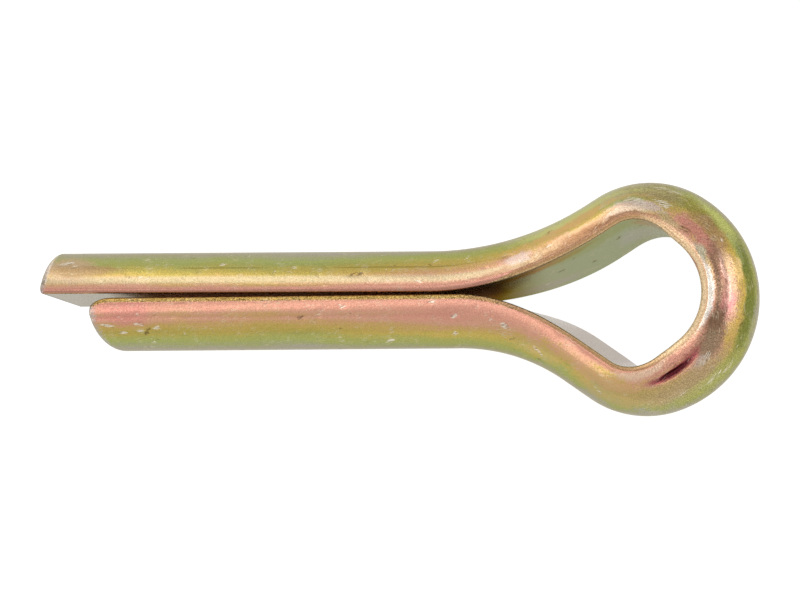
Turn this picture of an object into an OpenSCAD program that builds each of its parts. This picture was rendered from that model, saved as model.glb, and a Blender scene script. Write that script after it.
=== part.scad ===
// Cotter pin: one length of half-round wire folded flat to flat, with a
// teardrop eye, two straight legs of unequal length and sheared tips.
// The shank lies along X with its axis at Y = 0, Z = 0, and the eye is at +X.

/* [Wire] */
// Radius of the round back of the half-round wire
wire_r = 5.9; // [4.8:0.1:7]
// Rounding of the two long edges of the wire's flat
edge_r = 0.75; // [0.4:0.05:1]

/* [Shank] */
// Length of the longer leg, from the seat line to the middle of its end
long_leg = 49.7; // [30:0.1:90]
// Length of the shorter leg, from the seat line to the middle of its end
short_leg = 41.9; // [25:0.1:85]
// Gap between the two flats where the legs leave the eye
leg_gap = 0.3; // [0.1:0.05:0.8]
// How far each tip stands off the shank's axis
leg_opening = 0.15; // [0:0.05:0.3]

/* [Eye] */
// From the seat line to the centre of the wire at the crown
eye_length = 30; // [26:0.5:38]
// Radius of the crown, at the centre of the wire
crown_r = 8.4; // [7.6:0.1:10]
// Radius of the two shoulder bends, at the centre of the wire
shoulder_r = 5.8; // [4.5:0.1:7]
// Slope of the eye's flank on the long leg's side
long_flank_angle = 33; // [29:0.5:37]
// Slope of the eye's flank on the short leg's side
short_flank_angle = 35; // [30:0.5:38]
// Straight run of the flank on the long leg's side
long_flank = 1.2; // [0.3:0.1:5]
// Straight run of the flank on the short leg's side
short_flank = 3.9; // [0.3:0.1:6]
// Turn of the shoulder bend on the long leg's side
long_shoulder_turn = 62; // [48:1:72]
// Turn of the shoulder bend on the short leg's side
short_shoulder_turn = 55; // [48:1:72]

/* [Bending] */
// Roll of the wire on the long leg's flank, lower edge of the flat inward
long_flank_roll = 10; // [0:0.5:16]
// Roll of the wire on the short leg's flank, lower edge of the flat inward
short_flank_roll = 12; // [0:0.5:16]
// Roll of the wire at the crown, upper edge of the flat inward
crown_roll = 10.5; // [0:0.5:16]
// Turn of the wire, past the flank, over which the roll changes over
roll_turn = 75; // [50:5:100]
// How much the bending thickens the wire inward at the crown
crown_swell = 0.25; // [0:0.05:0.6]
// Rounding of the flat's edges at the crown
crown_edge_r = 1.15; // [0.8:0.05:1.5]

/* [Crease] */
// Depth of the crease that the bending folded into the crown's upper side
crease_depth = 0.5; // [0.1:0.05:0.7]
// Length of the crease along the wire, as a turn of the crown
crease_turn = 60; // [30:2:70]
// Turn from the crown's middle to the crease's, toward the short leg
crease_at = 66; // [50:1:70]
// Where the crease lies round the wire's back, up from its crest
crease_side = 64; // [58:1:68]
// Half width of the crease, as an angle round the wire's back
crease_spread = 8; // [6:1:12]

/* [Trough] */
// Depth of the shallow trough that the bending left on the crown's upper side
trough_depth = 0.25; // [0.05:0.05:0.4]
// Length of the trough along the wire, as a turn of the crown
trough_turn = 110; // [60:5:130]
// Turn from the crown's middle to the trough's, toward the long leg
trough_at = 9; // [-15:1:15]
// Where the trough lies round the wire's back, up from its crest
trough_side = 68; // [62:1:70]
// Half width of the trough, as an angle round the wire's back
trough_spread = 13; // [9:1:16]

/* [Tips] */
// Length of each leg's end that the shears deformed
tip_length = 4; // [3.5:0.1:6]
// Rounding of the sheared end's rim
tip_r = 0.4; // [0.2:0.05:0.7]
// Slant of the long leg's end across its width, upper edge longer
long_width_slant = 10; // [0:1:20]
// Slant of the long leg's end up its back, crest shorter
long_back_slant = 6; // [-4:1:12]
// Slant of the short leg's end across its width, upper edge longer
short_width_slant = 26; // [10:1:28]
// Slant of the short leg's end up its back, crest shorter
short_back_slant = 1; // [-4:1:8]
// How far the long leg's flat rolls back at the very end
long_end_roll = 0.45; // [0.1:0.05:1.5]
// Length over which it rolls back
long_end_run = 0.4; // [0.3:0.1:2]
// How far the short leg's flat rolls back at the very end
short_end_roll = 2; // [0.1:0.1:2.4]
// Length over which it rolls back
short_end_run = 1.8; // [0.3:0.1:2.4]

/* [Hidden] */

finish = "#c9a868";          // yellow-passivated zinc
arc_fn = 96;                 // facets asked for on each true circle
back_steps = 24;             // steps round the wire's back
edge_steps = 5;              // steps round each edge of the flat
bend_step = 4.5;             // degrees of turn from one section to the next
neck_step = 3;               // the same along the slow curve of the neck
rim_steps = 4;               // steps round a tip's rim
roll_steps = 6;              // the same where the flat rolls back
roll_clear = 1.2;            // rings of the roll stay this share of tip_r off the rim
lap = 0.6;                   // how far swept ends reach into the straight legs
lap_inset = 0.01;            // and how far inside their skin
least_edge_r = 0.06;         // rounding left on a section that is drawn in

leg_flat = leg_gap / 2;      // the wire's flat, from the centre of its back
crown_flat = leg_flat - crown_swell;

// ---- Section of the wire: u runs outward from the flat, w runs up ----

// Angle round the back, short of a quarter turn, at which it meets the edge
function edge_tilt(r, flat, er) = asin((flat + er) / (r - er));

// Points round the rounded half-round, from the lower end of its back. inset
// draws it in evenly, and each dent, [depth, angle, half width], presses in.
function wire_section(flat, er, inset = 0, dents = []) =
    let (
        r = wire_r - inset,
        f = flat + inset,
        e = max(er - inset, least_edge_r),
        tilt = edge_tilt(r, f, e),
        reach = 90 - tilt,
        edge = [f + e, (r - e) * cos(tilt)]
    )
    concat(
        [for (i = [0 : back_steps])
            let (a = -reach + 2 * reach * i / back_steps,
                 d = total([for (t = dents) t[0] * dip((a - t[1]) / t[2])]))
            (r - d) * [cos(a), sin(a)]],
        [for (i = [1 : edge_steps])
            let (a = reach + (180 - reach) * i / edge_steps)
            edge + e * [cos(a), sin(a)]],
        [for (i = [edge_steps : -1 : 1])
            let (a = reach + (180 - reach) * i / edge_steps)
            [edge.x, -edge.y] + e * [cos(a), -sin(a)]]
    );

// 1 at 0, falling smoothly to 0 at -1 and 1
function dip(t) = abs(t) < 1 ? pow(cos(90 * t), 2) : 0;
// 1 at 0, falling to 0 at 1 as a quarter of a circle
function quarter(t) = 1 - sqrt(1 - pow(1 - min(t, 1), 2));
function total(list) = len(list) == 0 ? 0 : list * [for (item = list) 1];
function ease(t) = let (s = min(max(t, 0), 1)) s * s * (3 - 2 * s);
function mix(a, b, t) = a + (b - a) * t;

// ---- Path of the wire on one side, from its leg to the crown ----

// Each station is [x, y, heading, turn since the flank or -1, share of the neck]
function rise(angle, flank, turn) =
    crown_r * cos(angle - turn)
    - shoulder_r * (cos(angle - turn) - cos(angle))
    - flank * sin(angle);
function neck_r(angle, flank, turn) = rise(angle, flank, turn) / (1 - cos(angle));
function neck_x(angle, flank, turn) =
    eye_length
    - neck_r(angle, flank, turn) * sin(angle)
    - flank * cos(angle)
    - shoulder_r * (sin(angle) - sin(angle - turn))
    - crown_r * (1 + sin(angle - turn));

function half_path(angle, flank, turn) =
    let (
        nr = neck_r(angle, flank, turn),
        nx = neck_x(angle, flank, turn),
        start = angle - turn,
        neck_n = ceil(angle / neck_step),
        shoulder_n = ceil(turn / bend_step),
        crown_n = ceil((90 + start) / bend_step),
        flank_end = [nx + nr * sin(angle) + flank * cos(angle),
                     nr * (1 - cos(angle)) + flank * sin(angle)],
        hub = flank_end + shoulder_r * [sin(angle), -cos(angle)]
    )
    concat(
        [for (i = [0 : neck_n])
            let (h = angle * i / neck_n)
            [nx + nr * sin(h), nr * (1 - cos(h)), h, 0, i / neck_n]],
        [for (i = [0 : shoulder_n - 1])
            let (h = angle - turn * i / shoulder_n)
            [hub.x - shoulder_r * sin(h), hub.y + shoulder_r * cos(h), h, angle - h, 1]],
        [for (i = [0 : crown_n])
            let (h = start - (90 + start) * i / crown_n)
            [eye_length - crown_r - crown_r * sin(h), crown_r * cos(h), h, angle - h, 1]]
    );

// ---- Sections set on the path ----

// What the bending pressed into the section whose turn from the crown's middle
// toward the long leg is turn
function bend_dents(turn) = [
    [crease_depth * dip((turn + crease_at) / (crease_turn / 2)), crease_side, crease_spread],
    [trough_depth * dip((turn - trough_at) / (trough_turn / 2)), trough_side, trough_spread]
];

// side is 1 on the long leg's side of the shank and -1 on the short leg's
function set_section(st, side, flank_roll) =
    let (
        over = ease(st[3] / roll_turn),
        roll = mix(flank_roll * ease(st[4]), -crown_roll, over),
        inset = st[4] == 0 ? lap_inset : 0,
        section = wire_section(
            mix(leg_flat, crown_flat, over),
            mix(edge_r, crown_edge_r, over),
            inset,
            bend_dents(side * (90 + st[2])))
    )
    [for (p = section)
        let (u = p.x * cos(roll) + p.y * sin(roll),
             w = p.y * cos(roll) - p.x * sin(roll))
        [st.x - u * sin(st[2]), side * (st.y + u * cos(st[2])), w]];

// One side of the eye, led in by a section that laps into the leg
function half_eye(side, angle, flank, turn, roll) =
    let (path = half_path(angle, flank, turn))
    concat(
        [set_section([path[0].x - lap, 0, 0, 0, 0], side, roll)],
        [for (st = path) set_section(st, side, roll)]
    );

// How far a leg's tip stands off the axis at x, when the leg starts at neck
function leg_offset(x, neck, length) = leg_opening * (neck - x) / (neck + length);

// A section across a leg, drawn in by inset, its flat rolled back by roll. share
// of the end's slants is added to its place along the leg: across the width and
// up the back.
function leg_section(x, side, inset, roll, neck, length, share, slants) =
    let (y = leg_offset(x, neck, length))
    [for (p = wire_section(leg_flat + roll, edge_r, inset))
        let (slant = p.y * tan(slants[0]) - p.x * tan(slants[1]))
        [x - share * slant, side * (y + p.x), p.y]];

// The list from its end to its start, without the last few that skip counts
function reversed(list, skip = 0) = [for (i = [len(list) - 1 - skip : -1 : 0]) list[i]];

// ---- A closed skin over a row of sections with equal point counts ----

module skin(rings) {
    n = len(rings[0]);
    last = len(rings) - 1;
    polyhedron(
        points = [for (ring = rings) each ring],
        faces = concat(
            [[for (i = [0 : n - 1]) i]],
            [for (k = [0 : last - 1], i = [0 : n - 1])
                let (j = (i + 1) % n, a = k * n, b = a + n)
                each [[a + i, b + i, b + j], [a + i, b + j, a + j]]],
            [[for (i = [n - 1 : -1 : 0]) last * n + i]]
        ),
        convexity = 6
    );
}

// ---- The stretches of the one wire ----

// The wire's true outline: a circle cut by the flat, with rounded corners
module wire_outline() {
    tilt = edge_tilt(wire_r, leg_flat, edge_r);
    past = 2 * edge_r;
    difference() {
        circle(r = wire_r, $fn = arc_fn);
        translate([leg_flat - wire_r - past, -wire_r - past])
            square([wire_r + past, 2 * (wire_r + past)]);
        for (up = [0, 1]) mirror([0, up])
            translate((wire_r - edge_r) * [sin(tilt), cos(tilt)]) difference() {
                polygon([[0, 0], past * [sin(tilt), cos(tilt)], [-past, past], [-past, 0]]);
                circle(r = edge_r, $fn = arc_fn / 2);
            }
    }
}

// The straight stretch of one leg, from its neck to its sheared end
module leg(side, neck, length) {
    lean = atan(leg_opening / (length + neck));
    translate([neck, 0, 0])
        rotate([0, 0, -side * lean])
            rotate([0, -90, 0])
                linear_extrude(height = neck + length - tip_length)
                    rotate(side * 90) wire_outline();
}

// How far from the end the rings of a tip stand: those of the flat's roll, and
// then those of the rim
function end_distances(run) = concat(
    [for (i = [0 : roll_steps])
        let (d = run * (1 - sin(90 * i / roll_steps)))
        if (d > roll_clear * tip_r) d],
    [for (i = [0 : rim_steps]) tip_r * (1 - sin(90 * i / rim_steps))]
);

// A leg's sheared end: the cut slants, its rim is rounded and its flat rolls
// back by end_roll over the length end_run
module tip(side, neck, length, slants, end_roll, end_run) {
    start = tip_length - length;
    rings = concat(
        [leg_section(start + lap, side, lap_inset, 0, neck, length, 0, slants),
         leg_section(start, side, lap_inset, 0, neck, length, 0, slants)],
        [for (d = end_distances(end_run))
            leg_section(d - length, side, tip_r * quarter(d / tip_r),
                        end_roll * quarter(d / end_run), neck, length,
                        min((tip_length - d) / (tip_length - tip_r), 1), slants)]
    );
    skin(side > 0 ? reversed(rings) : rings);
}

// Both sides of the eye, which share the section at the crown's middle
module eye() {
    skin(concat(
        half_eye(1, long_flank_angle, long_flank, long_shoulder_turn, long_flank_roll),
        reversed(half_eye(-1, short_flank_angle, short_flank, short_shoulder_turn,
                          short_flank_roll), skip = 1)
    ));
}

module split_pin() {
    long_neck = neck_x(long_flank_angle, long_flank, long_shoulder_turn);
    short_neck = neck_x(short_flank_angle, short_flank, short_shoulder_turn);
    color(finish) union() {
        eye();
        leg(1, long_neck, long_leg);
        leg(-1, short_neck, short_leg);
        tip(1, long_neck, long_leg, [long_width_slant, long_back_slant],
            long_end_roll, long_end_run);
        tip(-1, short_neck, short_leg, [short_width_slant, short_back_slant],
            short_end_roll, short_end_run);
    }
}

split_pin();
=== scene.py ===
# Cotter pin in zinc-plated, yellow-passivated steel, lying flat on a pale floor.
import math

import bpy
import numpy as np
from mathutils import Matrix, Vector


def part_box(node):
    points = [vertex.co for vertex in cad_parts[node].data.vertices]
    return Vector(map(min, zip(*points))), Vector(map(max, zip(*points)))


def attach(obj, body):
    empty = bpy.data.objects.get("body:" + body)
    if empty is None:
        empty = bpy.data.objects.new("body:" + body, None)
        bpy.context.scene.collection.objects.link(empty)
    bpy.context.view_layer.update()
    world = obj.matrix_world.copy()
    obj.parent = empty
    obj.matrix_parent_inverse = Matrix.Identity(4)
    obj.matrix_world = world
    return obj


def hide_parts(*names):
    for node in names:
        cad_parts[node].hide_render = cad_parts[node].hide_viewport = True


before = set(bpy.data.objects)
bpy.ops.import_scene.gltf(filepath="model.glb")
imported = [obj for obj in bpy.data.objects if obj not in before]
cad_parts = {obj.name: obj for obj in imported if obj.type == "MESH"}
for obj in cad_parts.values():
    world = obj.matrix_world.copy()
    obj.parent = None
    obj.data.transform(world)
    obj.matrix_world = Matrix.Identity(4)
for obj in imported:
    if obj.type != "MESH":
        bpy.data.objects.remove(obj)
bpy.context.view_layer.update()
nodeLow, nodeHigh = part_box("split_pin")
mm = 0.001


def addNode(tree, kind, links=None, **settings):  # settings are the node's own, links its inputs
    node = tree.nodes.new(kind)
    for key, value in settings.items():
        setattr(node, key, value)
    for key, value in (links or {}).items():
        if isinstance(value, bpy.types.NodeSocket):
            tree.links.new(value, node.inputs[key])
        else:
            node.inputs[key].default_value = value
    return node


def srgb(code):  # hex code to the linear colour that a shader wants
    channels = [int(code[i:i + 2], 16) / 255 for i in (1, 3, 5)]
    return [c / 12.92 if c <= 0.04045 else ((c + 0.055) / 1.055) ** 2.4 for c in channels] + [1.0]


def workOut(tree, value, rows):  # each row makes one named value out of earlier ones and of numbers
    for name, how, *terms in rows:
        if how == "APART":       # how far two things are apart
            workOut(tree, value, ((name, "SUBTRACT", *terms), (name, "ABSOLUTE", name)))
            continue
        terms = [srgb(term) if str(term).startswith("#") else value.get(term, term) for term in terms]
        if how == "STEP":        # what it follows, where it starts and ends, and from what to what
            node = addNode(tree, "ShaderNodeMapRange", dict(enumerate(terms)),
                           interpolation_type="SMOOTHSTEP")
        elif how == "MIX":       # how much of the second colour, and the two colours
            node = addNode(tree, "ShaderNodeMix", dict(zip((0, 6, 7), terms)), data_type="RGBA")
        else:
            node = addNode(tree, "ShaderNodeMath", dict(enumerate(terms)), operation=how)
        value[name] = node.outputs[2 if how == "MIX" else 0]


def newTree(name, sizes, **others):  # its inputs are the sizes, and the others by their kinds
    tree = bpy.data.node_groups.new(name, "GeometryNodeTree")
    for way in ("INPUT", "OUTPUT"):
        tree.interface.new_socket("Geometry", in_out=way, socket_type="NodeSocketGeometry")
    kinds = dict(others, Material="Material")
    kinds.update((size, "Vector" if isinstance(sizes[size], tuple) else "Float") for size in sizes)
    for socket, kind in kinds.items():
        tree.interface.new_socket(socket, in_out="INPUT", socket_type="NodeSocket" + kind)
    return tree, addNode(tree, "NodeGroupInput").outputs


def store(mesh, name, values, kind="FLOAT", field="value"):
    mesh.attributes.new(name, kind, "POINT").data.foreach_set(field, values)


def linked(name, data):  # a new object in the scene
    made = bpy.data.objects.new(name, data)
    bpy.context.scene.collection.objects.link(made)
    return made


def closeTree(tree, skin, material):
    skin = addNode(tree, "GeometryNodeRealizeInstances", {"Geometry": skin}).outputs[0]
    skin = addNode(tree, "GeometryNodeSetMaterial", {"Geometry": skin, "Material": material}).outputs[0]
    addNode(tree, "NodeGroupOutput", {0: skin})


wire = {                        # the wire's own path: millimetres and degrees
    "backRadius": (nodeHigh.z - nodeLow.z) / 2 / mm - 0.01,     # a hair inside the solid
    "edgeRadius": 0.75,
    "cornerRadius": 0.45,       # where the rounded edge meets the flat, it is tighter
    "legGap": 0.24,
    "legOpening": 0.15,         # how far each tip stands off the shank's axis
    "longLeg": 49.67,
    "shortLeg": 41.9,
    "eyeLength": 30.0,          # seat line to the wire's centre at the crown
    "crownRadius": 8.4,
    "shoulderRadius": 5.8,
    "longFlank": {"angle": 33, "run": 1.2, "turn": 62, "roll": 10},
    "shortFlank": {"angle": 35, "run": 3.9, "turn": 55, "roll": 12},
    "crownRoll": 10.5,
    "rollTurn": 75,             # turn over which the roll changes over
    "crownSwell": 0.1,
    "crownEdgeRadius": 1.15,
    "tipLength": 4.0,
    "tipRadius": 0.4,
    "longTip": {"slants": (-6, 10), "roll": 0.45, "run": 0.4},   # end's slant up the back and across
    "shortTip": {"slants": (-1, 26), "roll": 2.0, "run": 1.8},   # the width, and its flat's roll back
    "step": 0.28,               # spacing of the sections
    "rimRings": 6,              # sections round a tip's rim
    "rollRings": 12,            # and where its flat rolls back
    "backRoom": 3.0,            # in the tight bends the spacing holds this far outside the path
}


def ease(t):
    t = min(max(t, 0.0), 1.0)
    return t * t * (3 - 2 * t)


def mix(a, b, t):
    return a + (b - a) * t


def neckSizes(flank):  # the neck's radius and start follow from the eye's other sizes
    angle, low = math.radians(flank["angle"]), math.radians(flank["angle"] - flank["turn"])
    shoulder, crown, run = wire["shoulderRadius"], wire["crownRadius"], flank["run"]
    rise = crown * math.cos(low) - shoulder * (math.cos(low) - math.cos(angle)) - run * math.sin(angle)
    radius = rise / (1 - math.cos(angle))
    start = (wire["eyeLength"] - radius * math.sin(angle) - run * math.cos(angle)
             - shoulder * (math.sin(angle) - math.sin(low)) - crown * (1 + math.sin(low)))
    return radius, start


def spread(length):  # evenly spaced shares from 0 to just short of 1
    count = max(2, round(length / wire["step"]))
    return [i / count for i in range(count)]


def quarter(t):  # 1 at 0, falling to 0 at 1 as a quarter of a circle
    return 1 - math.sqrt(1 - (1 - min(t, 1.0)) ** 2)


def sideStations(side, flank, legLength, end):  # from the tip to the crown's middle
    radius, neck = neckSizes(flank)
    angle, low = math.radians(flank["angle"]), math.radians(flank["angle"] - flank["turn"])
    shoulder, crown, run = wire["shoulderRadius"], wire["crownRadius"], flank["run"]
    stations = []

    def add(x, y, heading=0.0, share=0.0, inset=0.0, slant=0.0, flatBack=0.0, fromEnd=legLength):
        turned = math.degrees(angle - heading) if share == 1 else 0.0
        over = ease(turned / wire["rollTurn"])
        roll = mix(flank["roll"] * ease(share), -wire["crownRoll"], over)
        stations.append({
            "place": (x, side * y, 0.0),
            "outward": (-math.sin(heading), side * math.cos(heading), 0.0),
            "roll": math.radians(roll),
            "over": over,
            "inset": inset,
            "flatBack": flatBack,
            "fromEnd": fromEnd,
            "slant": tuple(slant * math.tan(math.radians(s)) for s in end["slants"]) + (0.0,),
            "turn": -side * (90 + math.degrees(heading)),
        })

    def stand(x):
        return wire["legOpening"] * (neck - x) / (neck + legLength)

    tip, rim, rolled = wire["tipRadius"], wire["rimRings"], wire["rollRings"]
    pastTip = tip * 1.1  # no section stands closer behind the rim than this
    reach = max(tip, end["run"])
    distances = [tip * (1 - math.sin(math.pi / 2 * i / rim)) for i in range(rim, -1, -1)]
    distances += [reach * (1 - math.cos(math.pi / 2 * i / rolled)) for i in range(1, rolled + 1)]
    distances += [mix(reach, wire["tipLength"], t) for t in spread(wire["tipLength"] - reach)[1:]]
    distances = [0.0] + sorted(d for d in distances if d <= tip or d > pastTip)
    shearStart = wire["tipLength"] - legLength
    for i, d in enumerate(distances):
        share = min((wire["tipLength"] - d) / (wire["tipLength"] - tip), 1.0)
        closer = pastTip if i == 0 else tip * quarter(d / tip)  # the first ring leads in the end face
        add(d - legLength, stand(d - legLength), inset=closer, slant=share,
            flatBack=end["roll"] * quarter(d / end["run"]), fromEnd=d)
    for t in spread(neck - shearStart):
        x = mix(shearStart, neck, t)
        add(x, stand(x))
    for t in spread(radius * angle):
        h = angle * t
        add(neck + radius * math.sin(h), radius * (1 - math.cos(h)), h, t)
    flankX, flankY = neck + radius * math.sin(angle), radius * (1 - math.cos(angle))
    for t in spread(run):
        add(flankX + run * t * math.cos(angle), flankY + run * t * math.sin(angle), angle, 1)
    hubX = flankX + run * math.cos(angle) + shoulder * math.sin(angle)
    hubY = flankY + run * math.sin(angle) - shoulder * math.cos(angle)
    for t in spread((shoulder + wire["backRoom"]) * (angle - low)):
        h = mix(angle, low, t)
        add(hubX - shoulder * math.sin(h), hubY + shoulder * math.cos(h), h, 1)
    for t in spread((crown + wire["backRoom"]) * (low + math.pi / 2)) + [1.0]:
        h = mix(low, -math.pi / 2, t)
        add(wire["eyeLength"] - crown - crown * math.sin(h), crown * math.cos(h), h, 1)
    return stations


def pathObject():  # one open line of points, with what each section needs to know
    longSide = sideStations(1, wire["longFlank"], wire["longLeg"], wire["longTip"])
    shortSide = sideStations(-1, wire["shortFlank"], wire["shortLeg"], wire["shortTip"])
    stations = longSide + shortSide[-2::-1]
    mesh = bpy.data.meshes.new("wirePath")
    places = [Vector(s["place"]) * mm for s in stations]
    mesh.from_pydata(places, [(i, i + 1) for i in range(len(places) - 1)], [])
    for name, unit in (("place", mm), ("outward", 1), ("slant", 1)):
        store(mesh, name, [c * unit for s in stations for c in s[name]], "FLOAT_VECTOR", "vector")
    for name, unit in (("roll", 1), ("over", 1), ("turn", 1), ("inset", mm), ("flatBack", mm),
                       ("fromEnd", mm)):
        store(mesh, name, [s[name] * unit for s in stations])
    steps = [0.0] + [(b - a).length for a, b in zip(places, places[1:])]
    store(mesh, "along", list(np.cumsum(steps)))
    print("path of the wire:", len(stations), "sections,", round(sum(steps) / mm, 1), "mm")
    return linked("split_pin_wire", mesh)


outline = {"backSteps": 76, "edgeSteps": 24, "flatSteps": 24}  # points round the half-round section


def outlineObject():  # a ring whose points know which part of the half-round they are on
    back, edge, flat = outline["backSteps"], outline["edgeSteps"], outline["flatSteps"]
    ends = np.cumsum([0, back, edge, flat, edge])
    index = np.arange(ends[-1])
    shares = [np.clip((index - a) / (b - a), 0, 1) for a, b in zip(ends, ends[1:])]
    mesh = bpy.data.meshes.new("wireOutline")
    turn = 2 * math.pi * index / len(index)
    places = [(math.cos(t) * mm, math.sin(t) * mm, 0) for t in turn]
    mesh.from_pydata(places, [(int(i), int(i + 1) % len(index)) for i in index], [])
    parts = {
        "backShare": 2 * shares[0] - 1,      # -1 to 1 round the back
        "edgeShare": shares[1] + shares[3],  # 0 to 1 round the upper edge, then to 2 round the lower
        "flatShare": 1 - 2 * shares[2],      # 1 to -1 down the flat
    }
    for name, values in parts.items():
        store(mesh, name, values.astype(np.float32))
    return linked("wireOutline", mesh)


sweep = {                       # the tree's inputs: metres and radians
    "Back Radius": wire["backRadius"] * mm,
    "Edge Radius": wire["edgeRadius"] * mm,
    "Crown Edge Radius": wire["crownEdgeRadius"] * mm,
    "Corner Radius": wire["cornerRadius"] * mm,
    "Corner Turn": math.radians(55),    # how far the tighter corner turns from the flat
    "Leg Flat": wire["legGap"] / 2 * mm,
    "Crown Flat": (wire["legGap"] / 2 - wire["crownSwell"]) * mm,
    "Crease Depth": 0.5 * mm,
    "Crease Turn": 66.0,        # from the crown's middle towards the short leg, in degrees
    "Crease Half Turn": 30.0,
    "Crease Angle": math.radians(61),
    "Crease Bow": math.radians(5) / 30 ** 2,    # the crease's ends lie nearer to the eye
    "Crease Spread": math.radians(6.5),
    "Trough Depth": 0.25 * mm,  # shallow trough on the crown's upper side, inside its crest
    "Trough Turn": -9.0,
    "Trough Half Turn": 55.0,
    "Trough Angle": math.radians(68),
    "Trough Spread": math.radians(13),
    "Film Axis": (0.133, -0.148, 0.98),  # where the plating looks pinkest when it faces this way
}


def sweepTree():
    tree, given = newTree("sweptHalfRound", sweep, Outline="Object")
    value = {name: given[name] for name in sweep}

    ring = addNode(tree, "GeometryNodeObjectInfo", {"Object": given["Outline"]}).outputs["Geometry"]
    ring = addNode(tree, "GeometryNodeMeshToCurve", {"Mesh": ring}).outputs[0]
    line = addNode(tree, "GeometryNodeMeshToCurve", {"Mesh": given["Geometry"]}).outputs[0]
    skin = addNode(tree, "GeometryNodeCurveToMesh",
                   {"Curve": line, "Profile Curve": ring, "Fill Caps": True}).outputs[0]

    for name in ("over", "roll", "inset", "flatBack", "turn", "backShare", "edgeShare", "flatShare",
                 "place", "outward", "slant"):
        kind = "FLOAT_VECTOR" if name in ("place", "outward", "slant") else "FLOAT"
        value[name] = addNode(tree, "GeometryNodeInputNamedAttribute", {"Name": name},
                              data_type=kind).outputs[0]
    for name, leg, crown in (("edgeRadius", "Edge Radius", "Crown Edge Radius"),
                             ("bentFlat", "Leg Flat", "Crown Flat")):
        value[name] = addNode(tree, "ShaderNodeMix",
                              {0: value["over"], 2: value[leg], 3: value[crown]}).outputs[0]

    workOut(tree, value, (
        ("flatPlace", "ADD", "bentFlat", "flatBack"),
        ("inner", "SUBTRACT", "Back Radius", "edgeRadius"),
        ("soft", "SUBTRACT", "edgeRadius", "Corner Radius"),
        ("cornerPlace", "ADD", "flatPlace", "Corner Radius"),
        ("cornerCos", "COSINE", "Corner Turn"),
        ("fromAxis", "MULTIPLY_ADD", "soft", "cornerCos", "cornerPlace"),
        ("reachShare", "DIVIDE", "fromAxis", "inner"),
        ("reach", "ARCCOSINE", "reachShare"),          # half the turn of the round back
        ("hubAngle", "MULTIPLY", "backShare", "reach"),
        ("edgeTurn", "SUBTRACT", math.pi, "reach"),
        ("normalAngle", "MULTIPLY_ADD", "edgeShare", "edgeTurn", "hubAngle"),
        ("skinAngle", "SUBTRACT", "normalAngle", "roll"),
        ("downFlat", "SUBTRACT", 1.0, "flatShare"),
        ("flatReach", "MULTIPLY", "downFlat", "inner"),
        ("skinReach", "MULTIPLY_ADD", "normalAngle", "Back Radius", "flatReach"),
        ("drawn", "SUBTRACT", "Corner Radius", "inset"),
        ("fromFlat", "APART", math.pi, "normalAngle"),
        ("held", "MAXIMUM", "fromFlat", "Corner Turn"),
        ("heldCos", "COSINE", "held"),
        ("heldSin", "SINE", "held"),
        ("softU", "MULTIPLY", "soft", "heldCos"),
        ("softSin", "MULTIPLY", "soft", "heldSin"),
        ("softW", "MULTIPLY", "softSin", "flatShare"),
        ("hubCos", "COSINE", "hubAngle"),
        ("hubSin", "SINE", "hubAngle"),
        ("hubRise", "MULTIPLY", "hubSin", "flatShare"),
        ("edgeCos", "COSINE", "normalAngle"),
        ("edgeSin", "SINE", "normalAngle"),
        ("cornerU", "MULTIPLY", "drawn", "edgeCos"),
        ("edgeU", "SUBTRACT", "cornerU", "softU"),
        ("edgeW", "MULTIPLY_ADD", "drawn", "edgeSin", "softW"),
        ("u", "MULTIPLY_ADD", "inner", "hubCos", "edgeU"),
        ("w", "MULTIPLY_ADD", "inner", "hubRise", "edgeW"),
        ("creaseAway", "APART", "turn", "Crease Turn"),
        ("creaseSquare", "MULTIPLY", "creaseAway", "creaseAway"),
        ("creasePlace", "MULTIPLY_ADD", "creaseSquare", "Crease Bow", "Crease Angle"),
        ("creaseBeside", "APART", "normalAngle", "creasePlace"),
        ("troughAway", "APART", "turn", "Trough Turn"),
        ("troughBeside", "APART", "normalAngle", "Trough Angle"),
        ("unroll", "MULTIPLY", "roll", -1.0),

        # the crease and the trough fade out along the wire and to both sides
        ("creaseAlong", "STEP", "creaseAway", "Crease Half Turn", 0.0),
        ("creaseAcross", "STEP", "creaseBeside", "Crease Spread", 0.0),
        ("troughAlong", "STEP", "troughAway", "Trough Half Turn", 0.0),
        ("troughAcross", "STEP", "troughBeside", "Trough Spread", 0.0),
        ("creaseShare", "MULTIPLY", "creaseAlong", "creaseAcross"),
        ("creaseDent", "MULTIPLY", "creaseShare", "Crease Depth"),
        ("troughShare", "MULTIPLY", "troughAlong", "troughAcross"),
        ("dent", "MULTIPLY_ADD", "troughShare", "Trough Depth", "creaseDent"),
        ("dentU", "MULTIPLY", "dent", "edgeCos"),
        ("dentW", "MULTIPLY", "dent", "edgeSin"),
        ("sectionU", "SUBTRACT", "u", "dentU"),
        ("sectionW", "SUBTRACT", "w", "dentW")))

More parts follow.
